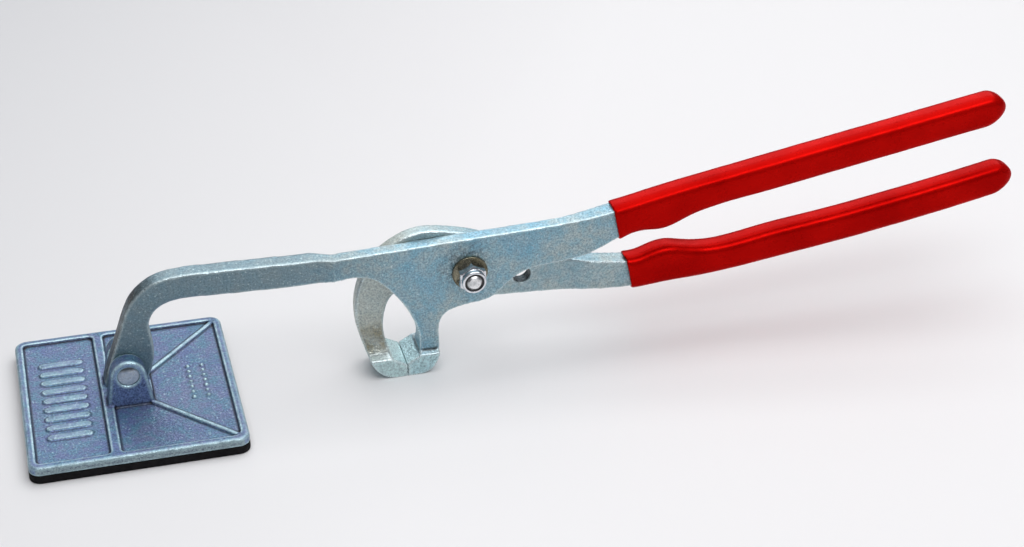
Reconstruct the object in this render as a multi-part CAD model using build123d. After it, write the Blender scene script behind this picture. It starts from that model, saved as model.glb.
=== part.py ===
from build123d import *
import os
from math import asin, atan2, cos, radians, sin, tan

# Stud-pulling lever pliers. Millimetres, +Z up. The origin is the centre of the foot pad's bottom face,
# +X runs from the foot to the handles and +Y from the front lever to the rear lever.

# foot
foot_length = 88.9          # along X
foot_width = 94.7           # along Y
foot_corner = 5.0
pad_thick = 3.7
plate_thick = 4.0
rim_width = 3.4
panel_depth = 1.3
panel_corner = 2.0
edge_round = 1.4            # outer top edge of the cast plate
cross_rib_x = -9.3
cross_rib_width = 4.2
brace_width = 1.9           # diagonal ribs of the right panel
brace_height = 1.0
brace_root = 2.0            # how far each diagonal rib starts inside its ear
bar_height = 0.7            # raised plain bars in the left panel
bar_width = 3.0
bar_length = 18.0
bar_count = 9
bar_pitch = 6.6
pip_radius = 0.8            # raised plain pips in the right panel
pip_rows = 2
pip_count = 7
pip_pitch = 3.8
pip_row_pitch = 6.0
pip_first_x = 26.0

# foot hinge
hinge_z = 20.8
pin_diameter = 9.0
pin_inset = 0.9             # the pin's ends sit below the ear faces
ear_thick = 7.0
ear_round = 7.2             # radius of the dome above the pin
ear_half_base = 9.6
ear_edge_round = 1.0
ear_gap = 0.4               # on each side of the arm
running_fit = 0.05          # radial clearance of a pin in a moving part

# levers
plate = 6.35                # thickness of each lever at the pivot
face_gap = 0.3              # between the two lever plates
arm_thick = 8.0
core_thick = 8.6            # thickness of each handle core
core_height = 11.6
pivot_x = 145.6
pivot_z = 46.5
arm_end_x = 80.0            # the arm runs into the plate between these two
plate_start_x = 88.0
plate_end_x = 188.0         # the plate thickens into the handle between these two
core_start_x = 204.0
hang_hole_x = 170.2
hang_hole_z = 37.3
hang_hole_diameter = 7.8

# handles: where the straight run starts, its slope, its bow and its length along X
run_start_x = 252.0
front_run_z = 63.5          # underside of the front handle core at the start of the run
rear_run_z = 27.1
front_slope = 0.178
rear_slope = 0.105
rear_bow = 0.00038
front_run = 126.0
rear_run = 136.0
tip_length = 6.4            # rounded end of each core

# jaws
jaw_width = 18.4            # along Y
jaw_seam_x = 117.2
jaw_gap = 0.3
tooth_pitch = 1.9
tooth_depth = 0.7
tooth_count = 3
lip_z = 6.0                 # top of the mating faces
shelf_z = 9.4               # top of the nose, in front of the leg
shelf_rise = 0.8
flare_z = 26.0              # where the leg starts to widen towards the nose
flare_reach = 5.1
flare_steps = [(0.14, 21.0), (0.38, 16.5), (0.70, 12.8)]    # share of the reach, and height

# grips
grip_wall = 1.7
grip_end_wall = 2.6
grip_round = 4.2
front_dip_x = 209.5         # the edge of each dipped grip, at half the handle's height
rear_dip_x = 217.6
dip_slant = 0.2
root_slope = 0.2            # of both grip edges where they start

# pivot fastener
bolt_diameter = 6.35
washer_diameter = 15.4
washer_fit = 0.225          # radial clearance on the bolt
washer_thick = 1.3
nut_across_flats = 11.1
nut_hex_height = 5.6
nut_height = 8.0
collar_diameter = 10.4
collar_wall = 1.0
collar_round = 0.6
insert_thick = 1.6          # from the collar's end to the back of the ring
insert_inset = 0.3          # the ring sits below the collar's end
bolt_stick_out = 0.5
head_height = 4.3
tip_chamfer = 0.6
corner_angle = 30.0         # the turned corners of nut and head, in degrees

bury = 1.0                  # how far a raised feature goes into what it stands on
beyond = 30.0               # how far a cutting block goes past what it cuts
tolerance = 0.01

front_y = -face_gap / 2 - plate
rear_y = face_gap / 2 + plate
half_jaw = jaw_width / 2
above = front_run_z + front_slope * front_run + core_height + beyond
wide = jaw_width + beyond
across_corners = nut_across_flats / cos(radians(30))
nut_face_y = front_y - washer_thick
nut_end_y = nut_face_y - nut_height


def at(points):
    return [Vector(x, 0, z) for x, z in points]


def slab(edges, y0, y1):
    """Solid between two Y planes, from the closed outline in X and Z that the edges make."""
    face = Face(Wire(edges)).moved(Location((0, y0, 0)))
    return extrude(face, amount=y1 - y0, dir=(0, 1, 0))


def prism(points, amount, direction):
    outline = Polyline(*points, close=True)
    return extrude(Face(Wire(outline.edges())), amount=amount, dir=direction)


def polygon_slab(points, y0, y1):
    return slab(Polyline(*at(points), close=True).edges(), y0, y1)


def plan_block(points, z0, z1):
    return prism([(x, y, z0) for x, y in points], z1 - z0, (0, 0, 1))


def end_block(points, x0, x1):
    return prism([(x0, y, z) for y, z in points], x1 - x0, (1, 0, 0))


def rod(diameter, x, z, y0, y1):
    return Cylinder(diameter / 2, y1 - y0, rotation=(90, 0, 0)).moved(Location((x, (y0 + y1) / 2, z)))


def curve(points, start, end):
    """Smooth edge through the points, leaving and arriving in the given X, Z directions."""
    tangents = [Vector(start[0], 0, start[1]).normalized(), Vector(end[0], 0, end[1]).normalized()]
    return Spline(*at(points), tangents=tangents, tangent_scalars=(1, 1))


def run_points(z0, slope, bow, length, steps=5):
    """Points along the straight or slightly bowed part of a handle's lower side."""
    runs = [length * i / steps for i in range(steps + 1)]
    return [(run_start_x + s, z0 + slope * s + bow * s * s) for s in runs]


def raised(points, dz):
    return [(x, z + dz) for x, z in points]


def flare(inner, side):
    """End-view points of the inner side of a leg, from the plate down to the edge of the shelf."""
    spread = side * flare_reach - inner
    points = [(inner + spread * share, z) for share, z in flare_steps]
    return [(inner, flare_z)] + points + [(side * flare_reach, shelf_z + shelf_rise)]


def teeth(side):
    """Serrated mating face from the bottom to the lip; side is +1 on the front lever. The two mesh."""
    seam = jaw_seam_x + side * jaw_gap / 2
    first = (lip_z - tooth_count * tooth_pitch) / 2
    points = [(seam, 0)]
    for i in range(tooth_count):
        z = first + i * tooth_pitch
        points += [(seam, z), (seam + tooth_depth, z + tooth_pitch / 2)]
    return points + [(seam, first + tooth_count * tooth_pitch), (seam, lip_z)]


# handle cores, without the finger bump, and the same lines moved out by the grip's wall
front_low_run = run_points(front_run_z, front_slope, 0, front_run)
rear_low_run = run_points(rear_run_z, rear_slope, rear_bow, rear_run)
front_end_dir = (1, front_slope)
rear_end_dir = (1, rear_slope + 2 * rear_bow * rear_run)

front_top_near = [(204, 65.7), (214, 67.6), (231, 71.2)]
front_low_near = [(243.5, 61.0), (236.5, 57.9), (230, 56.2), (223, 56.5), (216, 55.4), (208, 52.0),
                  (199, 47.8)]
rear_top_near = [(203, 40.0), (213, 38.5), (222, 38.1), (229, 40.4), (235.5, 41.4), (242, 40.3)]
rear_low_near = [(232, 26.1), (217, 25.3), (205.6, 25.9)]


def handle(top_near, low_run, low_near, end_dir, wall, end_wall):
    """Top edge, rounded tip and lower edge of a handle, from its root over the tip and back."""
    top = raised(top_near, wall) + raised(low_run, core_height + wall)
    low = raised(low_run[::-1], -wall) + raised(low_near, -wall)
    tip_x = low_run[-1][0] + tip_length + end_wall
    tip_z = low_run[-1][1] + core_height / 2 + end_dir[1] * (tip_length + end_wall)
    return top, [top[-1], (tip_x, tip_z), low[0]], low


def front_lever():
    top, tip, low = handle(front_top_near, front_low_run, front_low_near, front_end_dir, 0, 0)
    over_arm = [(-9.6, 15.0), (-4.6, 29.0), (0.6, 43.8), (4.4, 51.5), (9.7, 56.8), (16.4, 60.2), (24, 61.4),
                (40, 61.3), (60, 60.7), (80, 60.2), (95, 60.7), (115, 61.3), (137, 62.2), (160, 62.9),
                (182, 63.7)]
    to_jaw = [(190, 45.8), (179, 44.9), (171, 43.6), (164.5, 40.3), (158, 34.4), (153, 31.6), (146, 30.6),
              (139.5, 29.4), (134.6, 27.0), (132.3, 22.5), (132.0, 16.5), (132.1, 11.0), (130.7, 5.6),
              (127.6, 1.6), (122.6, 0)]
    under_arm = [(123.4, 9.5), (123.5, 15.6), (121.1, 26.2), (116.8, 34.7), (110.6, 43.1), (105.8, 47.8),
                 (100.5, 50.1), (94, 50.6), (80, 48.8), (69, 48.6), (53, 49.2), (36, 49.9), (26, 50.2),
                 (18.0, 48.8), (13.0, 45.0), (10.9, 39.6), (11.5, 33.5), (12.0, 28.0), (11.2, 21.5),
                 (8.2, 14.0), (1.5, 9.9), (-5.5, 10.4), (-9.1, 12.7), (-9.6, 15.0)]
    back_dir = (-front_end_dir[0], -front_end_dir[1])
    heel_dir = (0.31, 0.95)
    edges = [curve(over_arm + top, heel_dir, front_end_dir),
             curve(tip, front_end_dir, back_dir),
             curve(low + to_jaw, back_dir, (-1, 0)),
             Polyline(*at([to_jaw[-1]] + teeth(1) + [under_arm[0]])),
             curve(under_arm, (0, 1), heel_dir)]
    body = slab([e for part in edges for e in part.edges()], -half_jaw, half_jaw)
    inner = -face_gap / 2
    end_x = run_start_x + front_run + 2 * tip_length
    plan = plan_block([(-beyond, -arm_thick / 2), (arm_end_x, -arm_thick / 2), (plate_start_x, front_y),
                       (end_x, front_y), (end_x, front_y + core_thick), (core_start_x, front_y + core_thick),
                       (plate_end_x, inner), (plate_start_x, inner), (arm_end_x, arm_thick / 2),
                       (-beyond, arm_thick / 2)], -beyond, above)
    jaw = end_block([(front_y, flare_z), (front_y, shelf_z + shelf_rise), (-half_jaw, shelf_z),
                     (-half_jaw, -beyond), (half_jaw, -beyond), (half_jaw, shelf_z)]
                    + flare(inner, 1)[::-1], jaw_seam_x, jaw_seam_x + beyond)
    bores = rod(pin_diameter + 2 * running_fit, 0, hinge_z, -wide, wide)
    bores += rod(bolt_diameter + 2 * running_fit, pivot_x, pivot_z, -wide, wide)
    return body & (plan + jaw) - bores


def rear_lever():
    top, tip, low = handle(rear_top_near, rear_low_run, rear_low_near, rear_end_dir, 0, 0)
    over_claw = [(112, 0), (108.0, 1.1), (104.6, 3.8), (102.0, 8.0), (99.7, 14.5), (98.0, 21.5), (97.3, 29.0),
                 (98.1, 37.5), (101.6, 47.5), (107.4, 55.4), (114, 60.4), (121, 63.6), (128, 64.7),
                 (136.5, 63.6), (146, 61.2), (157, 57.0), (168, 51.3), (179, 46.0), (191, 42.2)]
    to_jaw = [(187.5, 26.9), (169.6, 28.0), (158, 28.6), (149, 29.3), (141, 31.4), (133, 35.0), (125, 38.2),
              (118, 38.2), (112.7, 34.4), (109.9, 27.0), (109.1, 18.0), (110.2, 9.7)]
    back_dir = (-rear_end_dir[0], -rear_end_dir[1])
    seam = teeth(-1)[::-1]
    edges = [curve(over_claw + top, (-1, 0), rear_end_dir),
             curve(tip, rear_end_dir, back_dir),
             curve(low + to_jaw, back_dir, (0, -1)),
             Polyline(*at([to_jaw[-1]] + seam + [over_claw[0]]))]
    body = slab([e for part in edges for e in part.edges()], -half_jaw, half_jaw)
    inner = face_gap / 2
    end_x = run_start_x + rear_run + 2 * tip_length
    plan = plan_block([(arm_end_x, inner), (plate_end_x, inner), (core_start_x, rear_y - core_thick),
                       (end_x, rear_y - core_thick), (end_x, rear_y), (arm_end_x, rear_y)], -beyond, above)
    jaw = end_block([(rear_y, flare_z), (rear_y, shelf_z + shelf_rise), (half_jaw, shelf_z),
                     (half_jaw, -beyond), (-half_jaw, -beyond), (-half_jaw, shelf_z)]
                    + flare(inner, -1)[::-1], jaw_seam_x - beyond, jaw_seam_x + tooth_depth)
    bores = rod(hang_hole_diameter, hang_hole_x, hang_hole_z, -wide, wide)
    bores += rod(bolt_diameter + 2 * running_fit, pivot_x, pivot_z, -wide, wide)
    return body & (plan + jaw) - bores


def grip(top_near, low_run, low_near, end_dir, dip_x, y0, y1, core):
    """Dipped sleeve: the handle's outline moved out by the wall, cut at the dip line, less the core."""
    top, tip, low = handle(top_near, low_run, low_near, end_dir, grip_wall, grip_end_wall)
    back_dir = (-end_dir[0], -end_dir[1])
    edges = [curve(top, (1, root_slope), end_dir), curve(tip, end_dir, back_dir),
             curve(low, back_dir, (-1, -root_slope)), Line(*at([low[-1], top[0]]))]
    sleeve = slab(edges, y0 - grip_wall, y1 + grip_wall)
    rims = sleeve.edges().filter_by(lambda e: abs(e.tangent_at(0.5).Y) < tolerance)
    rims = rims.filter_by(lambda e: e.center().X > dip_x)
    sleeve = fillet(rims, grip_round)
    mid_z = (top[1][1] + low[-2][1]) / 2
    lean = dip_slant * beyond
    cut = polygon_slab([(dip_x - lean, mid_z + beyond), (dip_x + lean, mid_z - beyond),
                        (-beyond, mid_z - beyond), (-beyond, mid_z + beyond)], -wide, wide)
    return sleeve - cut - core


def front_grip(core):
    return grip(front_top_near, front_low_run, front_low_near[:-1], front_end_dir,
                front_dip_x, front_y, front_y + core_thick, core)


def rear_grip(core):
    return grip(rear_top_near, rear_low_run, rear_low_near, rear_end_dir,
                rear_dip_x, rear_y - core_thick, rear_y, core)


def foot_pad():
    pad = Box(foot_length, foot_width, pad_thick).moved(Location((0, 0, pad_thick / 2)))
    return fillet(pad.edges().filter_by(Axis.Z), foot_corner)


def panel(x0, x1, y0, y1, top):
    """Shallow pocket with rounded corners in the plate's upper face."""
    box = Box(x1 - x0, y1 - y0, panel_depth * 2).moved(Location(((x0 + x1) / 2, (y0 + y1) / 2, top)))
    return fillet(box.edges().filter_by(Axis.Z), panel_corner)


def brace(start, end, floor):
    """Narrow diagonal rib between two points of the panel floor."""
    dx = end[0] - start[0]
    dy = end[1] - start[1]
    length = (dx * dx + dy * dy) ** 0.5
    side = brace_width / 2
    ux, uy = dx / length, dy / length
    corners = [(start[0] - uy * side, start[1] + ux * side), (end[0] - uy * side, end[1] + ux * side),
               (end[0] + uy * side, end[1] - ux * side), (start[0] + uy * side, start[1] - ux * side)]
    return plan_block(corners, floor - bury, floor + brace_height)


def ear(y0, y1, floor):
    """Tapered clevis ear with a domed top, tangent to its sloping sides."""
    rise = hinge_z - floor
    slant = (ear_half_base ** 2 + rise ** 2) ** 0.5
    lean = atan2(ear_half_base, rise) - asin(ear_round / slant)
    tangent = (ear_round * cos(lean), hinge_z + ear_round * sin(lean))
    dome = [(tangent[0], tangent[1]), (0, hinge_z + ear_round), (-tangent[0], tangent[1])]
    feet = [(-ear_half_base, floor), (ear_half_base, floor)]
    edges = [ThreePointArc(*at(dome)), Polyline(*at([dome[2], feet[0], feet[1], dome[0]]))]
    return slab([e for part in edges for e in part.edges()], y0, y1)


def foot_plate():
    top = pad_thick + plate_thick
    floor = top - panel_depth
    plate_box = Box(foot_length, foot_width, plate_thick).moved(Location((0, 0, pad_thick + plate_thick / 2)))
    body = fillet(plate_box.edges().filter_by(Axis.Z), foot_corner)
    body = fillet(body.faces().sort_by(Axis.Z)[-1].edges(), edge_round)
    in_x = foot_length / 2 - rim_width
    in_y = foot_width / 2 - rim_width
    rib_left = cross_rib_x - cross_rib_width / 2
    rib_right = cross_rib_x + cross_rib_width / 2
    body -= panel(-in_x, rib_left, -in_y, in_y, top)
    body -= panel(rib_right, in_x, -in_y, in_y, top)
    ear_in = arm_thick / 2 + ear_gap
    ear_out = ear_in + ear_thick
    for side in (-1, 1):
        root = (ear_half_base - brace_root, side * (ear_out - brace_root))
        body += brace(root, (in_x + bury, side * (in_y + bury)), floor)
        y0, y1 = sorted((side * ear_in, side * ear_out))
        block = ear(y0, y1, floor)
        rim = block.edges().filter_by(lambda e: abs(e.center().Y - side * ear_out) < tolerance)
        rim = rim.filter_by(lambda e: e.center().Z > floor + tolerance)
        body += fillet(rim, ear_edge_round)
    body += plan_block([(-ear_half_base, -ear_in - bury), (ear_half_base, -ear_in - bury),
                        (ear_half_base, ear_in + bury), (-ear_half_base, ear_in + bury)], floor - bury, top)
    middle_x = (rib_left - in_x) / 2
    for i in range(bar_count):
        y = (i - (bar_count - 1) / 2) * bar_pitch
        bar = extrude(SlotOverall(bar_length, bar_width), bar_height + bury)
        body += bar.moved(Location((middle_x, y, floor - bury)))
    for row in range(pip_rows):
        for i in range(pip_count):
            y = (i - (pip_count - 1) / 2) * pip_pitch
            pip = Sphere(pip_radius).moved(Location((pip_first_x + row * pip_row_pitch, y, floor)))
            body += pip
    return body - rod(pin_diameter, 0, hinge_z, -wide, wide)


def foot_hinge_pin():
    half = arm_thick / 2 + ear_gap + ear_thick - pin_inset
    return rod(pin_diameter, 0, hinge_z, -half, half)


def washer(y0):
    ring = rod(washer_diameter, pivot_x, pivot_z, y0, y0 + washer_thick)
    return ring - rod(bolt_diameter + 2 * washer_fit, pivot_x, pivot_z, -wide, wide)


def hexagon(y0, y1):
    """Hexagonal prism on the pivot axis."""
    points = []
    for i in range(6):
        angle = radians(60 * i + 30)
        points.append((pivot_x + across_corners / 2 * cos(angle), pivot_z + across_corners / 2 * sin(angle)))
    return polygon_slab(points, y0, y1)


def turned_corners(y0, y1, face_y):
    """Cylinder with a cone at face_y, which takes the corners off a hexagon there."""
    blank = rod(across_corners, pivot_x, pivot_z, y0, y1)
    rim = blank.edges().filter_by(lambda e: abs(e.center().Y - face_y) < tolerance)
    corner = (across_corners - nut_across_flats) / 2
    return chamfer(rim, corner * tan(radians(corner_angle)), corner)


def lock_nut():
    step = nut_face_y - nut_hex_height
    body = hexagon(step, nut_face_y) & turned_corners(step, nut_face_y, step)
    collar = rod(collar_diameter, pivot_x, pivot_z, nut_end_y, step + bury)
    rim = collar.edges().filter_by(lambda e: abs(e.center().Y - nut_end_y) < tolerance)
    body += fillet(rim, collar_round)
    body -= rod(collar_diameter - 2 * collar_wall, pivot_x, pivot_z,
                nut_end_y - bury, nut_end_y + insert_thick)
    return body - rod(bolt_diameter, pivot_x, pivot_z, -wide, wide)


def lock_nut_insert():
    ring = rod(collar_diameter - 2 * collar_wall, pivot_x, pivot_z,
               nut_end_y + insert_inset, nut_end_y + insert_thick)
    return ring - rod(bolt_diameter, pivot_x, pivot_z, -wide, wide)


def pivot_bolt():
    seat = rear_y + washer_thick
    tip = nut_end_y - bolt_stick_out
    shank = rod(bolt_diameter, pivot_x, pivot_z, tip, seat + bury)
    rim = shank.edges().filter_by(lambda e: abs(e.center().Y - tip) < tolerance)
    shank = chamfer(rim, tip_chamfer)
    head = hexagon(seat, seat + head_height) & turned_corners(seat, seat + head_height, seat + head_height)
    return shank + head


def build():
    front = front_lever()
    rear = rear_lever()
    return {"front_lever": front,
            "rear_lever": rear,
            "front_grip": front_grip(front),
            "rear_grip": rear_grip(rear),
            "foot_pad": foot_pad(),
            "foot_plate": foot_plate(),
            "foot_hinge_pin": foot_hinge_pin(),
            "pivot_bolt": pivot_bolt(),
            "pivot_head_washer": washer(rear_y),
            "pivot_nut_washer": washer(nut_face_y),
            "lock_nut": lock_nut(),
            "lock_nut_insert": lock_nut_insert()}


os.makedirs("parts", exist_ok=True)
for node, shape in build().items():
    export_step(shape, f"parts/{node}.step")
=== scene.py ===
from math import cos, radians, sin

import bmesh
import bpy
import numpy as np
from mathutils import Matrix, Vector


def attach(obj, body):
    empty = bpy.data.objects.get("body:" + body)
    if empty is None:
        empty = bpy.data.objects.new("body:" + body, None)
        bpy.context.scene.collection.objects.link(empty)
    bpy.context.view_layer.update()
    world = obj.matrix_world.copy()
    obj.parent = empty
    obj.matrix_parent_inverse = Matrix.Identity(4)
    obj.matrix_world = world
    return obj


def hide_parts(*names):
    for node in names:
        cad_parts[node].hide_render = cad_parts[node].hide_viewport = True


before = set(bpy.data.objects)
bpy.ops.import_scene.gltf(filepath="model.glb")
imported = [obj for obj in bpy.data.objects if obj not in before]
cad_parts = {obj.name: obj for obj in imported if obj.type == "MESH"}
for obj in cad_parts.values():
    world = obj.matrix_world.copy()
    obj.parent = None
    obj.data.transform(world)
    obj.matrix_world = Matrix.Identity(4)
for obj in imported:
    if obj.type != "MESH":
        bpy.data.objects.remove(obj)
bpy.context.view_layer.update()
scene = bpy.context.scene
mm = 0.001
print("frame loaded:", ", ".join(sorted(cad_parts)))


# shader helpers

def newGroup(name, inputs, outputs):
    tree = bpy.data.node_groups.new(name, "ShaderNodeTree")
    for label, value in inputs:
        socket = tree.interface.new_socket(label, in_out="INPUT", socket_type="NodeSocketFloat")
        socket.default_value = value
    for label in outputs:
        tree.interface.new_socket(label, in_out="OUTPUT", socket_type="NodeSocketFloat")
    return tree, tree.nodes.new("NodeGroupInput"), tree.nodes.new("NodeGroupOutput")


def addNode(tree, kind, links=(), **settings):
    # links are (input name or number, value or socket) pairs
    node = tree.nodes.new(kind)
    for key, value in settings.items():
        setattr(node, key, value)
    for key, value in links:
        if isinstance(value, bpy.types.NodeSocket):
            tree.links.new(value, node.inputs[key])
        else:
            node.inputs[key].default_value = value
    return node


def coordinate(tree, kind="Object"):
    return addNode(tree, "ShaderNodeTexCoord").outputs[kind]


def axes(tree, kind="Object"):
    return addNode(tree, "ShaderNodeSeparateXYZ", [(0, coordinate(tree, kind))]).outputs


def distanceFrom(tree, centre):
    links = [(0, coordinate(tree)), (1, centre)]
    return addNode(tree, "ShaderNodeVectorMath", links, operation="DISTANCE").outputs["Value"]


def noise(tree, scale, detail=3.0, rough=0.55):
    links = [("Vector", coordinate(tree)), ("Scale", scale), ("Detail", detail), ("Roughness", rough)]
    return addNode(tree, "ShaderNodeTexNoise", links).outputs["Fac"]


def remap(tree, value, low, high, to=(0.0, 1.0)):
    links = [("Value", value), ("From Min", low), ("From Max", high), ("To Min", to[0]), ("To Max", to[1])]
    return addNode(tree, "ShaderNodeMapRange", links).outputs["Result"]


def calc(tree, operation, a, b):
    return addNode(tree, "ShaderNodeMath", [(0, a), (1, b)], operation=operation).outputs[0]


def product(tree, a, b):
    return calc(tree, "MULTIPLY", a, b)


def blendColour(tree, factor, a, b):
    node = addNode(tree, "ShaderNodeMix", [("Factor", factor)], data_type="RGBA")
    for index, value in ((6, a), (7, b)):
        if isinstance(value, bpy.types.NodeSocket):
            tree.links.new(value, node.inputs[index])
        else:
            node.inputs[index].default_value = (*value, 1.0)
    return node.outputs[2]


# shared shader groups

def buildMottle():
    # soft patches and fine specks of a passivated zinc layer, and a speck mask for painted glints
    tree, given, out = newGroup("zincMottle", [("Patch Scale", 70.0), ("Speck Scale", 1100.0)],
                                ["Patches", "Specks", "Blotches", "Glints"])
    tree.links.new(remap(tree, noise(tree, given.outputs["Patch Scale"], 4.0, 0.6), 0.36, 0.64),
                   out.inputs["Patches"])
    tree.links.new(remap(tree, noise(tree, given.outputs["Speck Scale"], 2.0, 0.7), 0.38, 0.66),
                   out.inputs["Specks"])
    glints = noise(tree, product(tree, given.outputs["Speck Scale"], 0.83), 2.0, 0.7)
    tree.links.new(remap(tree, glints, 0.6, 0.74), out.inputs["Glints"])
    third = product(tree, given.outputs["Patch Scale"], 4.3)
    tree.links.new(remap(tree, noise(tree, third, 3.0, 0.6), 0.42, 0.62), out.inputs["Blotches"])
    return tree


def buildEdgeWearAndPaintedLight():
    # bright edges, partly wear and partly painted highlight, and painted shade in inner corners, from the
    # curvature of a dense mesh
    inputs = [("Edge Start", 0.51), ("Edge Full", 0.56), ("Corner Start", 0.495), ("Corner Full", 0.468),
              ("Break Scale", 260.0)]
    tree, given, out = newGroup("edgeWearAndPaintedLight", inputs, ["Edges", "Corners"])
    bend = addNode(tree, "ShaderNodeNewGeometry").outputs["Pointiness"]
    breaks = remap(tree, noise(tree, given.outputs["Break Scale"], 3.0, 0.6), 0.35, 0.6, (0.45, 1.0))
    edges = remap(tree, bend, given.outputs["Edge Start"], given.outputs["Edge Full"])
    corners = remap(tree, bend, given.outputs["Corner Start"], given.outputs["Corner Full"])
    tree.links.new(product(tree, edges, breaks), out.inputs["Edges"])
    tree.links.new(corners, out.inputs["Corners"])
    return tree


def buildGrain():
    # height of a grainy skin: a fine grain over shallow dimples
    tree, given, out = newGroup("skinGrain", [("Grain Scale", 1500.0), ("Dimple Scale", 420.0),
                                              ("Dimple Share", 0.5)], ["Height"])
    fine = noise(tree, given.outputs["Grain Scale"], 3.0, 0.65)
    dimples = remap(tree, noise(tree, given.outputs["Dimple Scale"], 2.0, 0.5), 0.3, 0.62)
    share = given.outputs["Dimple Share"]
    rest = calc(tree, "SUBTRACT", 1.0, share)
    total = calc(tree, "ADD", product(tree, fine, rest), product(tree, dimples, share))
    tree.links.new(total, out.inputs["Height"])
    return tree


zincMottle = buildMottle()
edgeWearAndPaintedLight = buildEdgeWearAndPaintedLight()
skinGrain = buildGrain()


def useGroup(tree, group, **values):
    node = tree.nodes.new("ShaderNodeGroup")
    node.node_tree = group
    for key, value in values.items():
        node.inputs[key.replace("_", " ")].default_value = value
    return node.outputs


def newMaterial(name, **plain):
    material = bpy.data.materials.new(name)
    material.use_nodes = True
    tree = material.node_tree
    shader = tree.nodes["Principled BSDF"]
    for key, value in plain.items():
        shader.inputs[key.replace("_", " ")].default_value = value
    return material, tree, shader


def addBump(tree, shader, height, strength, distance):
    links = [("Height", height), ("Strength", strength), ("Distance", distance)]
    bump = addNode(tree, "ShaderNodeBump", links)
    tree.links.new(bump.outputs["Normal"], shader.inputs["Normal"])


# materials

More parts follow.
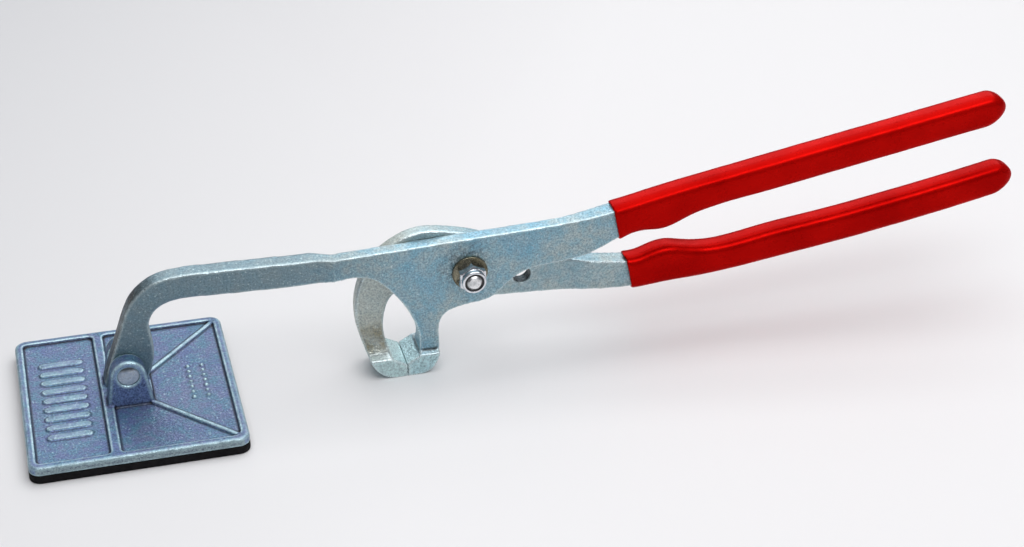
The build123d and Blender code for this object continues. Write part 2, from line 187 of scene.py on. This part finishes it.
def zincSteel(name, look):
    # blue-passivated zinc on shot-blasted steel, with painted shade and light by X position and warmer above
    # the jaws
    material, tree, shader = newMaterial(name, Metallic=look["metal"], IOR=1.5)
    mottle = useGroup(tree, zincMottle, Patch_Scale=look["patch"], Speck_Scale=look["speck"])
    wearAndPaintedLight = useGroup(tree, edgeWearAndPaintedLight, Edge_Start=look["edge"][0], Edge_Full=look["edge"][1])
    grain = useGroup(tree, skinGrain, Grain_Scale=look["grain"], Dimple_Scale=look["dimple"])
    place = axes(tree)
    colour = blendColour(tree, mottle["Patches"], look["cool"], look["plain"])
    colour = blendColour(tree, product(tree, mottle["Blotches"], look["blotch"]), colour, look["teal"])
    # painted shade and light by X: the front lever's arm darkens towards the left, and on the claw the same
    # mask paints a paler, warmer tone: painted light with a warm tint
    if "paintedShadeAndLightX" in look:
        full, none = look["paintedShadeAndLightX"]
        paintedShadeAndLight = product(tree, remap(tree, place["X"], none, full), look["paintedShadeAndLight"])
        colour = blendColour(tree, paintedShadeAndLight, colour, look["paintedShadeAndLightColour"])
    # painted shade: faces turned towards -X at the left end go dark, broken up by a cloud
    if "grimeX" in look:
        full, none = look["grimeX"]
        back = product(tree, remap(tree, axes(tree, "Normal")["X"], -0.30, -0.75),
                       remap(tree, place["X"], none, full))
        cloud = remap(tree, noise(tree, 160.0, 4.0, 0.7), 0.30, 0.56, (0.35, 1.0))
        colour = blendColour(tree, product(tree, back, cloud), colour, look["grimeColour"])
    if "warmZ" in look:
        riseLow, riseHigh, fallLow, fallHigh = look["warmZ"]
        band = product(tree, remap(tree, place["Z"], riseLow, riseHigh),
                       remap(tree, place["Z"], fallHigh, fallLow))
        cloud = remap(tree, noise(tree, 130.0, 3.0), 0.38, 0.62, (0.1, 1.0))
        colour = blendColour(tree, product(tree, band, cloud), colour, look["olive"])
    # painted light: faces turned to -Y are lightened towards a brighter blue-violet
    if "frontColour" in look:
        front = remap(tree, axes(tree, "Normal")["Y"], -0.5, -0.9, (0.0, 0.75))
        colour = blendColour(tree, front, colour, look["frontColour"])
    # painted shade: the inside of the hang hole goes dark
    if "paintedBoreShade" in look:
        wall = remap(tree, distanceFrom(tree, look["paintedBoreShade"]), *look["paintedBoreShadeReach"])
        colour = blendColour(tree, wall, colour, look["paintedCreaseShadeColour"])
    if "rim" in look:
        masks = []
        for axis, edge in zip("XY", look["rim"]):
            side = addNode(tree, "ShaderNodeMath", [(0, place[axis])], operation="ABSOLUTE").outputs[0]
            masks.append(remap(tree, side, edge, edge + look["rimFade"]))
        colour = blendColour(tree, calc(tree, "MAXIMUM", *masks), colour, look["rimColour"])
    if "smudge" in look:
        near = remap(tree, distanceFrom(tree, look["smudge"]), *look["smudgeReach"], (0.0, 0.8))
        streaks = remap(tree, noise(tree, 620.0, 4.0, 0.7), 0.46, 0.62)
        colour = blendColour(tree, product(tree, near, streaks), colour, look["smudgeColour"])
    if "paleZ" in look:
        pale = remap(tree, place["Z"], *look["paleZ"], (0.0, 0.75))
        colour = blendColour(tree, pale, colour, look["paleColour"])
        # painted highlight: a bright band over the up-facing shelf at the top of the jaw noses
        low, middle, high = look["paintedShelfHighlightZ"]
        paintedShelfHighlight = product(tree, remap(tree, place["Z"], low, middle), remap(tree, place["Z"], high, middle))
        colour = blendColour(tree, product(tree, paintedShelfHighlight, 0.8), colour, look["wearAndHighlightColour"])
    # the specks are the zinc's dark grain; the glints are painted glints in the highlight colour
    for mask, share, tint in ((mottle["Specks"], "specks", "speckColour"),
                              (mottle["Glints"], "glints", "wearAndHighlightColour")):
        colour = blendColour(tree, product(tree, mask, look[share]), colour, look[tint])
    # painted shade: inner corners and creases go dark
    colour = blendColour(tree, wearAndPaintedLight["Corners"], colour, look["paintedCreaseShadeColour"])
    # painted shade: ambient occlusion darkens recesses in the crease-shade colour
    if "recess" in look:
        shelter = addNode(tree, "ShaderNodeAmbientOcclusion", [("Distance", look["recess"])], samples=4)
        hidden = remap(tree, shelter.outputs["AO"], 0.80, 0.45, (0.0, 0.9))
        colour = blendColour(tree, hidden, colour, look["paintedCreaseShadeColour"])
    # bright edges: partly wear, partly painted highlight
    colour = blendColour(tree, product(tree, wearAndPaintedLight["Edges"], look["edgeWearAndHighlight"]), colour, look["wearAndHighlightColour"])
    tree.links.new(colour, shader.inputs["Base Color"])
    rough = remap(tree, mottle["Specks"], 0.0, 1.0, (look["rough"][0], look["rough"][1]))
    rough = calc(tree, "SUBTRACT", rough, product(tree, wearAndPaintedLight["Edges"], 0.1))
    tree.links.new(rough, shader.inputs["Roughness"])
    addBump(tree, shader, grain["Height"], look["bump"], 0.00025)
    return material


leverLook = {"metal": 0.7, "patch": 60.0, "speck": 1250.0, "grain": 1900.0, "dimple": 800.0,
             "cool": (0.26, 0.46, 0.58), "plain": (0.44, 0.54, 0.55), "teal": (0.18, 0.47, 0.62),
             "blotch": 0.42,
             "paintedShadeAndLightX": (0.070, 0.120), "paintedShadeAndLight": 0.72, "paintedShadeAndLightColour": (0.17, 0.235, 0.26),
             "smudge": (0.1440, -0.0065, 0.0492), "smudgeReach": (0.0145, 0.0078),
             "smudgeColour": (0.05, 0.07, 0.08),
             "grimeX": (0.020, 0.045), "grimeColour": (0.035, 0.035, 0.030),
             "paleZ": (0.0094, 0.0088), "paleColour": (0.64, 0.88, 0.90), "paintedShelfHighlightZ": (0.0090, 0.0098, 0.0110),
             "specks": 0.6, "speckColour": (0.09, 0.14, 0.18), "glints": 0.5,
             "paintedCreaseShadeColour": (0.02, 0.027, 0.03), "edge": (0.506, 0.535), "edgeWearAndHighlight": 0.65,
             "wearAndHighlightColour": (0.80, 0.92, 0.94), "rough": (0.32, 0.52), "bump": 0.8}
clawLook = dict(leverLook, plain=(0.50, 0.57, 0.55), cool=(0.32, 0.47, 0.54), teal=(0.25, 0.49, 0.58),
                paintedShadeAndLightX=(0.116, 0.136), paintedShadeAndLight=0.6, paintedShadeAndLightColour=(0.62, 0.62, 0.53),
                paintedBoreShade=(0.1702, 0.0033, 0.0373), paintedBoreShadeReach=(0.0051, 0.0047),
                warmZ=(0.0100, 0.0115, 0.013, 0.030), olive=(0.33, 0.28, 0.15), specks=0.5)
for unused in ("smudge", "grimeX"):
    clawLook.pop(unused)
castLook = dict(leverLook, metal=0.42, patch=55.0, cool=(0.10, 0.155, 0.34), plain=(0.16, 0.20, 0.35),
                teal=(0.08, 0.25, 0.34), blotch=0.7, specks=0.75, speckColour=(0.03, 0.045, 0.11),
                paintedCreaseShadeColour=(0.006, 0.008, 0.018), rough=(0.30, 0.48), bump=0.9,
                wearAndHighlightColour=(0.55, 0.78, 0.84),
                rim=(0.0438, 0.0465), rimFade=0.0004, rimColour=(0.30, 0.40, 0.43), edgeWearAndHighlight=0.9,
                frontColour=(0.27, 0.37, 0.66), recess=0.0022)
for unused in ("paintedShadeAndLightX", "smudge", "paleZ", "grimeX"):
    castLook.pop(unused)
washerLook = dict(castLook, metal=0.85, plain=(0.15, 0.125, 0.06), cool=(0.06, 0.055, 0.04),
                  teal=(0.05, 0.055, 0.05), speckColour=(0.02, 0.02, 0.015), wearAndHighlightColour=(0.45, 0.42, 0.30),
                  rough=(0.28, 0.42), bump=0.2, edgeWearAndHighlight=0.5)
for unused in ("rim", "frontColour", "recess"):
    washerLook.pop(unused)
leverZinc = zincSteel("leverZinc", leverLook)
clawZinc = zincSteel("clawZinc", clawLook)
castZinc = zincSteel("castZinc", castLook)
washerZinc = zincSteel("washerZinc", washerLook)


def dippedVinyl():
    look = {"deep": (0.40, 0.0016, 0.0012), "light": (0.52, 0.003, 0.002)}
    material, tree, shader = newMaterial("dippedVinyl", Metallic=0.3, IOR=1.5, Specular_IOR_Level=0.04,
                                         Specular_Tint=(1.0, 0.12, 0.08, 1.0))
    cloud = remap(tree, noise(tree, 40.0, 2.0), 0.35, 0.65)
    red = blendColour(tree, cloud, look["deep"], look["light"])
    tree.links.new(red, shader.inputs["Base Color"])
    tree.links.new(remap(tree, noise(tree, 320.0, 3.0), 0.3, 0.7, (0.24, 0.36)), shader.inputs["Roughness"])
    grain = useGroup(tree, skinGrain, Grain_Scale=900.0, Dimple_Scale=160.0, Dimple_Share=0.6)
    addBump(tree, shader, grain["Height"], 0.12, 0.0003)
    return material


def padRubber():
    material, tree, shader = newMaterial("padRubber", Roughness=0.75, IOR=1.5, Specular_IOR_Level=0.15)
    tree.links.new(blendColour(tree, remap(tree, noise(tree, 300.0), 0.35, 0.7), (0.003, 0.003, 0.004),
                               (0.009, 0.008, 0.009)), shader.inputs["Base Color"])
    tree.links.new(remap(tree, noise(tree, 700.0), 0.3, 0.7, (0.6, 0.88)), shader.inputs["Roughness"])
    grain = useGroup(tree, skinGrain, Grain_Scale=1800.0, Dimple_Scale=500.0)
    addBump(tree, shader, grain["Height"], 0.5, 0.0003)
    return material


def brightMetal(name, colour, dull, rough, bump, metal=1.0, paintedShadowZ=None):
    material, tree, shader = newMaterial(name, Metallic=metal)
    wearAndPaintedLight = useGroup(tree, edgeWearAndPaintedLight, Edge_Start=0.52, Edge_Full=0.6)
    smudge = remap(tree, noise(tree, 380.0, 4.0, 0.6), 0.4, 0.68)
    base = blendColour(tree, smudge, colour, dull)
    # painted shade: inner corners go dark
    base = blendColour(tree, wearAndPaintedLight["Corners"], base, (0.12, 0.12, 0.12))
    # painted shadow: the top of the pin face goes dark, as under the rim of its bore
    if paintedShadowZ:
        height = axes(tree)["Z"]
        base = blendColour(tree, remap(tree, height, *paintedShadowZ, (0.0, 0.9)), base, (0.05, 0.05, 0.05))
    tree.links.new(base, shader.inputs["Base Color"])
    tree.links.new(remap(tree, smudge, 0.0, 1.0, rough), shader.inputs["Roughness"])
    grain = useGroup(tree, skinGrain, Grain_Scale=2600.0, Dimple_Scale=900.0)
    addBump(tree, shader, grain["Height"], bump, 0.0001)
    return material


def nylonBlack():
    material, tree, shader = newMaterial("nylonBlack", Roughness=0.45)
    tree.links.new(blendColour(tree, noise(tree, 900.0), (0.012, 0.012, 0.013), (0.03, 0.03, 0.032)),
                   shader.inputs["Base Color"])
    grain = useGroup(tree, skinGrain, Grain_Scale=2500.0)
    addBump(tree, shader, grain["Height"], 0.25, 0.0001)
    return material


vinylRed = dippedVinyl()
rubberBlack = padRubber()
nutChrome = brightMetal("nutChrome", (0.80, 0.82, 0.85), (0.50, 0.53, 0.58), (0.08, 0.20), 0.08)
boltSteel = brightMetal("boltSteel", (0.78, 0.79, 0.80), (0.42, 0.43, 0.44), (0.22, 0.45), 0.6)
pinSteel = brightMetal("pinSteel", (0.74, 0.80, 0.86), (0.46, 0.54, 0.64), (0.26, 0.44), 0.5,
                       metal=0.35, paintedShadowZ=(0.0226, 0.0240))
nylonRing = nylonBlack()
print("materials ready")


# mesh helpers

def nodeCopy(node, name):
    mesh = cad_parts[node].data.copy()
    mesh.name = name
    mesh.materials.clear()
    bm = bmesh.new()
    bm.from_mesh(mesh)
    bmesh.ops.remove_doubles(bm, verts=bm.verts, dist=2e-6)
    bm.to_mesh(mesh)
    bm.free()
    if "custom_normal" in mesh.attributes:
        mesh.attributes.remove(mesh.attributes["custom_normal"])
    while mesh.uv_layers:
        mesh.uv_layers.remove(mesh.uv_layers[0])
    piece = bpy.data.objects.new(name, mesh)
    scene.collection.objects.link(piece)
    return piece


def applied(piece):
    # what the modifiers make becomes the piece's own mesh
    result = bpy.data.meshes.new_from_object(piece.evaluated_get(bpy.context.evaluated_depsgraph_get()))
    old = piece.data
    piece.modifiers.clear()
    piece.data = result
    result.name = piece.name
    bpy.data.meshes.remove(old)
    return piece


def voxelled(piece, size):
    remesh = piece.modifiers.new("Voxels", "REMESH")
    remesh.mode = "VOXEL"
    remesh.voxel_size = size
    remesh.use_smooth_shade = True
    return applied(piece)


def points(piece):
    found = np.empty(len(piece.data.vertices) * 3)
    piece.data.vertices.foreach_get("co", found)
    return found.reshape(-1, 3)


def weighted(piece, name, weights):
    # a vertex group with the weights in steps of a twentieth
    group = piece.vertex_groups.new(name=name)
    steps = np.round(np.clip(weights, 0, 1) * 20) / 20
    for step in np.unique(steps):
        if step > 0:
            group.add(np.nonzero(steps == step)[0].tolist(), float(step), "REPLACE")


def softened(piece, weights, rounds):
    # smooths more where the weight is higher
    weighted(piece, "soften", weights)
    smooth = piece.modifiers.new("Soften", "SMOOTH")
    smooth.factor = 0.5
    smooth.iterations = rounds
    smooth.vertex_group = "soften"
    applied(piece)
    piece.vertex_groups.clear()


def heldTo(piece, node, weights):
    # where the weight is high the surface goes back onto the solid, so that facets and teeth stay crisp
    weighted(piece, "held", weights)
    wrap = piece.modifiers.new("Hold", "SHRINKWRAP")
    wrap.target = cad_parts[node]
    wrap.wrap_method = "NEAREST_SURFACEPOINT"
    wrap.vertex_group = "held"
    applied(piece)
    piece.vertex_groups.clear()


def ramp(values, low, high):
    # 0 at low and 1 at high, eased
    t = np.clip((values - low) / (high - low), 0, 1)
    return t * t * (3 - 2 * t)


def skinTree():
    # moves a surface in and out along its normal by a slow wave and a fine grain
    tree = bpy.data.node_groups.new("forgedSkin", "GeometryNodeTree")
    face = tree.interface
    face.new_socket("Geometry", in_out="INPUT", socket_type="NodeSocketGeometry")
    for label, value in (("Wave Scale", 120.0), ("Wave Height", 0.0001), ("Grain Scale", 700.0),
                         ("Grain Height", 0.00003)):
        face.new_socket(label, in_out="INPUT", socket_type="NodeSocketFloat").default_value = value
    face.new_socket("Geometry", in_out="OUTPUT", socket_type="NodeSocketGeometry")
    given, out = tree.nodes.new("NodeGroupInput"), tree.nodes.new("NodeGroupOutput")
    parts = []
    for kind in ("Wave", "Grain"):
        place = tree.nodes.new("GeometryNodeInputPosition").outputs[0]
        links = [("Vector", place), ("Scale", given.outputs[kind + " Scale"]), ("Detail", 2.0)]
        cloud = addNode(tree, "ShaderNodeTexNoise", links)
        centred = calc(tree, "SUBTRACT", cloud.outputs["Fac"], 0.5)
        parts.append(product(tree, centred, given.outputs[kind + " Height"]))
    height = calc(tree, "ADD", parts[0], parts[1])
    normal = tree.nodes.new("GeometryNodeInputNormal").outputs[0]
    offset = addNode(tree, "ShaderNodeVectorMath", [(0, normal)], operation="SCALE")
    tree.links.new(height, offset.inputs["Scale"])
    move = addNode(tree, "GeometryNodeSetPosition", [("Geometry", given.outputs["Geometry"]),
                                                     ("Offset", offset.outputs[0])])
    tree.links.new(move.outputs[0], out.inputs[0])
    return tree


forgedSkin = skinTree()


def setInputs(modifier, values):
    # a modifier's inputs are set by each socket's identifier
    for item in modifier.node_group.interface.items_tree:
        if item.item_type == "SOCKET" and item.in_out == "INPUT" and item.name in values:
            modifier[item.identifier] = values[item.name]


def skinned(piece, **values):
    modifier = piece.modifiers.new("Skin", "NODES")
    modifier.node_group = forgedSkin
    setInputs(modifier, {key.replace("_", " "): value for key, value in values.items()})
    return applied(piece)


def finished(piece, material, body, slot, *nodes):
    piece.data.materials.clear()
    piece.data.materials.append(material)
    piece.data.shade_smooth()
    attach(piece, body)
    if nodes:
        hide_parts(*nodes)
    return piece


# levers

frontShape = {"voxel": 0.50 * mm, "rounds": 40, "arm": 0.7, "plate": 0.16, "nose": 0.05,
              "armEnd": (78 * mm, 90 * mm), "noseTop": (10 * mm, 20 * mm), "heldTop": (6.2 * mm, 8 * mm)}
frontLever = voxelled(nodeCopy("front_lever", "frontLever"), frontShape["voxel"])
place = points(frontLever)
onArm = 1 - ramp(place[:, 0], *frontShape["armEnd"])
share = frontShape["plate"] + (frontShape["arm"] - frontShape["plate"]) * onArm
nose = (1 - ramp(place[:, 2], *frontShape["noseTop"])) * (place[:, 0] > 100 * mm)
share = share * (1 - nose) + frontShape["nose"] * nose
softened(frontLever, share, frontShape["rounds"])
heldTo(frontLever, "front_lever", (1 - ramp(place[:, 2], *frontShape["heldTop"])) * (place[:, 0] > 100 * mm))
skinned(frontLever, Wave_Scale=110.0, Wave_Height=0.00022, Grain_Scale=900.0, Grain_Height=0.00005)
finished(frontLever, leverZinc, "front", "lever_steel", "front_lever")

rearShape = {"voxel": 0.50 * mm, "rounds": 40, "claw": 0.45, "plate": 0.16, "nose": 0.05,
             "clawEnd": (126 * mm, 150 * mm), "noseTop": (10 * mm, 20 * mm), "heldTop": (6.2 * mm, 8 * mm)}
rearLever = voxelled(nodeCopy("rear_lever", "rearLever"), rearShape["voxel"])
place = points(rearLever)
onClaw = 1 - ramp(place[:, 0], *rearShape["clawEnd"])
share = rearShape["plate"] + (rearShape["claw"] - rearShape["plate"]) * onClaw
nose = (1 - ramp(place[:, 2], *rearShape["noseTop"])) * (place[:, 0] < 130 * mm)
share = share * (1 - nose) + rearShape["nose"] * nose
softened(rearLever, share, rearShape["rounds"])
heldTo(rearLever, "rear_lever", 1 - ramp(place[:, 2], *rearShape["heldTop"]))
skinned(rearLever, Wave_Scale=110.0, Wave_Height=0.00022, Grain_Scale=900.0, Grain_Height=0.00005)
finished(rearLever, clawZinc, "rear", "lever_steel", "rear_lever")
print("levers:", len(frontLever.data.polygons), len(rearLever.data.polygons), "faces")


# grips

gripShape = {"voxel": 0.55 * mm, "rounds": 14}
for node, name, body in (("front_grip", "frontGrip", "front"), ("rear_grip", "rearGrip", "rear")):
    sleeve = voxelled(nodeCopy(node, name), gripShape["voxel"])
    softened(sleeve, np.full(len(sleeve.data.vertices), 1.0), gripShape["rounds"])
    skinned(sleeve, Wave_Scale=60.0, Wave_Height=0.0003, Grain_Scale=400.0, Grain_Height=0.0)
    finished(sleeve, vinylRed, body, "grip_vinyl", node)
    print(name, len(sleeve.data.polygons), "faces")


# foot

plateShape = {"voxel": 0.50 * mm, "rounds": 3}
footPlate = voxelled(nodeCopy("foot_plate", "footPlate"), plateShape["voxel"])
softened(footPlate, np.full(len(footPlate.data.vertices), 0.8), plateShape["rounds"])
skinned(footPlate, Wave_Scale=90.0, Wave_Height=0.00012, Grain_Scale=900.0, Grain_Height=0.00004)
finished(footPlate, castZinc, "foot", "foot_casting", "foot_plate")
print("footPlate", len(footPlate.data.polygons), "faces")


def geometryTree(name, inputs):
    tree = bpy.data.node_groups.new(name, "GeometryNodeTree")
    tree.interface.new_socket("Geometry", in_out="INPUT", socket_type="NodeSocketGeometry")
    for label, kind, value in inputs:
        socket = tree.interface.new_socket(label, in_out="INPUT", socket_type="NodeSocket" + kind)
        if value is not None:
            socket.default_value = value
    tree.interface.new_socket("Geometry", in_out="OUTPUT", socket_type="NodeSocketGeometry")
    return tree, tree.nodes.new("NodeGroupInput").outputs, tree.nodes.new("NodeGroupOutput")


def realised(tree, given, out, instances):
    real = addNode(tree, "GeometryNodeRealizeInstances", [("Geometry", instances)])
    coat = addNode(tree, "GeometryNodeSetMaterial", [("Geometry", real.outputs[0])])
    tree.links.new(given["Finish"], coat.inputs["Material"])
    tree.links.new(coat.outputs[0], out.inputs[0])


def barTree():
    # a row of bars with round ends and sloping sides
    tree, given, out = geometryTree("barRow", [
        ("Count", "Int", 9), ("Pitch", "Float", 0.0066), ("Length", "Float", 0.018),
        ("Width", "Float", 0.003), ("Height", "Float", 0.0007), ("Taper", "Float", 0.8),
        ("Start", "Vector", (0, 0, 0)),
        ("Finish", "Material", None)])
    outline = addNode(tree, "GeometryNodeCurvePrimitiveQuadrilateral", [("Width", given["Length"]),
                                                                        ("Height", given["Width"])])
    half = product(tree, given["Width"], 0.499)
    rounded = addNode(tree, "GeometryNodeFilletCurve", [("Curve", outline.outputs[0])])
    if "Mode" in rounded.inputs:
        rounded.inputs["Mode"].default_value = "Poly"
    else:
        rounded.mode = "POLY"
    rounded.inputs["Count"].default_value = 6
    tree.links.new(half, rounded.inputs["Radius"])
    base = addNode(tree, "GeometryNodeFillCurve", [("Curve", rounded.outputs[0])])
    if "Mode" in base.inputs:
        base.inputs["Mode"].default_value = "N-gons"
    else:
        base.mode = "NGONS"
    raised = addNode(tree, "GeometryNodeExtrudeMesh", [("Mesh", base.outputs[0])])
    raised.inputs["Individual"].default_value = False
    tree.links.new(given["Height"], raised.inputs["Offset Scale"])
    smaller = addNode(tree, "GeometryNodeScaleElements", [("Geometry", raised.outputs["Mesh"]),
                                                          ("Selection", raised.outputs["Top"])])
    tree.links.new(given["Taper"], smaller.inputs["Scale"])
    under = addNode(tree, "GeometryNodeFlipFaces", [("Mesh", base.outputs[0])])
    whole = tree.nodes.new("GeometryNodeJoinGeometry")
    tree.links.new(smaller.outputs[0], whole.inputs[0])
    tree.links.new(under.outputs[0], whole.inputs[0])
    links = [("Geometry", whole.outputs[0]), ("Distance", 0.00001)]
    shut = addNode(tree, "GeometryNodeMergeByDistance", links)
    step = addNode(tree, "ShaderNodeCombineXYZ", [("Y", given["Pitch"])])
    links = [("Count", given["Count"]), ("Start Location", given["Start"]), ("Offset", step.outputs[0])]
    row = addNode(tree, "GeometryNodeMeshLine", links)
    links = [("Points", row.outputs[0]), ("Instance", shut.outputs[0])]
    bars = addNode(tree, "GeometryNodeInstanceOnPoints", links)
    realised(tree, given, out, bars.outputs[0])
    return tree


def pipTree():
    # rows of low round pips
    tree, given, out = geometryTree("pipRows", [
        ("Rows", "Int", 2), ("Count", "Int", 7), ("Row Pitch", "Float", 0.006), ("Pitch", "Float", 0.0038),
        ("Radius", "Float", 0.0008), ("Centre", "Vector", (0, 0, 0)), ("Finish", "Material", None)])
    sizes = [product(tree, calc(tree, "SUBTRACT", given[n], 1.0), given[p])
             for n, p in (("Rows", "Row Pitch"), ("Count", "Pitch"))]
    links = [("Size X", sizes[0]), ("Size Y", sizes[1]), ("Vertices X", given["Rows"]),
             ("Vertices Y", given["Count"])]
    grid = addNode(tree, "GeometryNodeMeshGrid", links)
    links = [("Geometry", grid.outputs[0]), ("Translation", given["Centre"])]
    moved = addNode(tree, "GeometryNodeTransform", links)
    ball = addNode(tree, "GeometryNodeMeshIcoSphere", [("Radius", given["Radius"]), ("Subdivisions", 3)])
    links = [("Points", moved.outputs[0]), ("Instance", ball.outputs[0])]
    pips = addNode(tree, "GeometryNodeInstanceOnPoints", links)
    realised(tree, given, out, pips.outputs[0])
    return tree


def fromTree(name, tree, values):
    piece = bpy.data.objects.new(name, bpy.data.meshes.new(name))
    scene.collection.objects.link(piece)
    modifier = piece.modifiers.new("Pattern", "NODES")
    modifier.node_group = tree
    setInputs(modifier, values)
    return applied(piece)


plateTop = 7.7 * mm
panelFloor = plateTop - 1.3 * mm
barRow = {"Count": 9, "Pitch": 6.6 * mm, "Length": 18.2 * mm, "Width": 3.3 * mm, "Height": 1.1 * mm,
          "Taper": 0.86, "Start": (-26.2 * mm, -26.4 * mm, panelFloor - 0.25 * mm), "Finish": castZinc}
bars = fromTree("panelBars", barTree(), barRow)
edge = bars.modifiers.new("Edges", "BEVEL")
edge.width = 0.18 * mm
edge.segments = 3
edge.limit_method = "ANGLE"
applied(bars)
finished(bars, castZinc, "foot", "foot_casting")

pipRows = {"Rows": 2, "Count": 7, "Row Pitch": 6.0 * mm, "Pitch": 3.8 * mm, "Radius": 0.86 * mm,
           "Centre": (29.0 * mm, 0.0, panelFloor), "Finish": castZinc}
pips = fromTree("panelPips", pipTree(), pipRows)
finished(pips, castZinc, "foot", "foot_casting")
print("raised pattern:", len(bars.data.polygons), len(pips.data.polygons), "faces")


# small pieces, each a copy of its solid with turned or rubbed edges

smallPieces = [
    ("foot_pad", "footPad", "foot", "pad_rubber", rubberBlack, 0.5),
    ("foot_hinge_pin", "hingePin", "foot", "pin_steel", pinSteel, 0.35),
    ("pivot_head_washer", "headWasher", "front", "washer_steel", washerZinc, 0.25),
    ("pivot_nut_washer", "nutWasher", "front", "washer_steel", washerZinc, 0.25),
    ("lock_nut", "lockNut", "front", "nut_chrome", nutChrome, 0.22),
    ("lock_nut_insert", "lockNutRing", "front", "nylon", nylonRing, 0.15),
    ("pivot_bolt", "pivotBolt", "front", "bolt_steel", boltSteel, 0.2),
]
for node, name, body, slot, material, rub in smallPieces:
    piece = nodeCopy(node, name)
    bm = bmesh.new()
    bm.from_mesh(piece.data)
    bmesh.ops.dissolve_limit(bm, angle_limit=radians(0.6), verts=bm.verts, edges=bm.edges)
    bm.to_mesh(piece.data)
    bm.free()
    edge = piece.modifiers.new("Edges", "BEVEL")
    edge.width = rub * mm
    edge.segments = 4
    edge.limit_method = "ANGLE"
    edge.angle_limit = radians(25)
    edge.harden_normals = False
    applied(piece)
    finished(piece, material, body, slot, node)
    piece.data.set_sharp_from_angle(angle=radians(40))
print("small pieces:", len(smallPieces))


# floor, light and camera

def stageFloor():
    material, tree, shader = newMaterial("paleFloor", Roughness=0.6)
    place = axes(tree)
    # painted shade: the floor darkens from near-white to grey towards the left and far side
    away = calc(tree, "SUBTRACT", product(tree, place["Y"], 0.5), place["X"])
    paintedShadeAndLight = remap(tree, away, -0.15, 0.75)
    tree.links.new(blendColour(tree, paintedShadeAndLight, (0.86, 0.855, 0.865), (0.46, 0.475, 0.50)),
                   shader.inputs["Base Color"])
    bm = bmesh.new()
    bmesh.ops.create_grid(bm, x_segments=1, y_segments=1, size=6.0)
    mesh = bpy.data.meshes.new("floor")
    bm.to_mesh(mesh)
    bm.free()
    mesh.materials.append(material)
    floor = bpy.data.objects.new("floor", mesh)
    scene.collection.objects.link(floor)


def lamp(name, place, target, size, power, colour=(1, 1, 1), shineOnly=False):
    light = bpy.data.lights.new(name, "AREA")
    light.shape = "RECTANGLE"
    light.size, light.size_y = size
    light.energy = power
    light.color = colour
    holder = bpy.data.objects.new(name, light)
    scene.collection.objects.link(holder)
    holder.location = place
    holder.visible_diffuse = not shineOnly   # such a lamp makes highlights and leaves the floor as it is
    holder.rotation_euler = (Vector(target) - Vector(place)).to_track_quat("-Z", "Y").to_euler()


def surroundings():
    world = bpy.data.worlds.new("studio")
    scene.world = world
    world.use_nodes = True
    tree = world.node_tree
    height = remap(tree, axes(tree, "Generated")["Z"], -0.1, 0.9)
    colour = blendColour(tree, height, (0.10, 0.10, 0.12), (0.90, 0.93, 1.0))
    tree.links.new(colour, tree.nodes["Background"].inputs["Color"])
    tree.nodes["Background"].inputs["Strength"].default_value = 0.35


def camera():
    view = {"place": (-0.02930, -0.74014, 0.51245), "focal": 2102.9, "width": 1024,
            "down": radians(31.7575), "turn": radians(14.768), "roll": radians(0.1936)}
    level = Vector((sin(view["turn"]), cos(view["turn"]), 0))
    side = Vector((cos(view["turn"]), -sin(view["turn"]), 0))
    ahead = level * cos(view["down"]) - Vector((0, 0, sin(view["down"])))
    upward = Vector((0, 0, cos(view["down"]))) + level * sin(view["down"])
    right = side * cos(view["roll"]) + upward * sin(view["roll"])
    upward = upward * cos(view["roll"]) - side * sin(view["roll"])
    data = bpy.data.cameras.new("camera")
    data.sensor_width = 36.0
    data.lens = view["focal"] / view["width"] * data.sensor_width
    data.clip_start = 0.01
    holder = bpy.data.objects.new("camera", data)
    scene.collection.objects.link(holder)
    turn = Matrix((right, upward, -ahead)).transposed().to_4x4()
    holder.matrix_world = Matrix.Translation(view["place"]) @ turn
    scene.camera = holder


stageFloor()
lamp("overhead", (0.55, -0.05, 1.70), (0.35, 0.0, 0.0), (3.0, 2.2), 41.0, (1.0, 0.99, 0.98))
lamp("frontKey", (0.45, -0.80, 1.15), (0.15, 0.0, 0.04), (0.9, 0.35), 5.0, (1.0, 1.0, 1.0), True)
lamp("backStrip", (0.30, 1.10, 0.75), (0.15, 0.0, 0.04), (1.8, 0.5), 8.0, (0.98, 0.99, 1.0), True)
surroundings()
camera()
scene.view_settings.view_transform = "Standard"
print("stage ready")
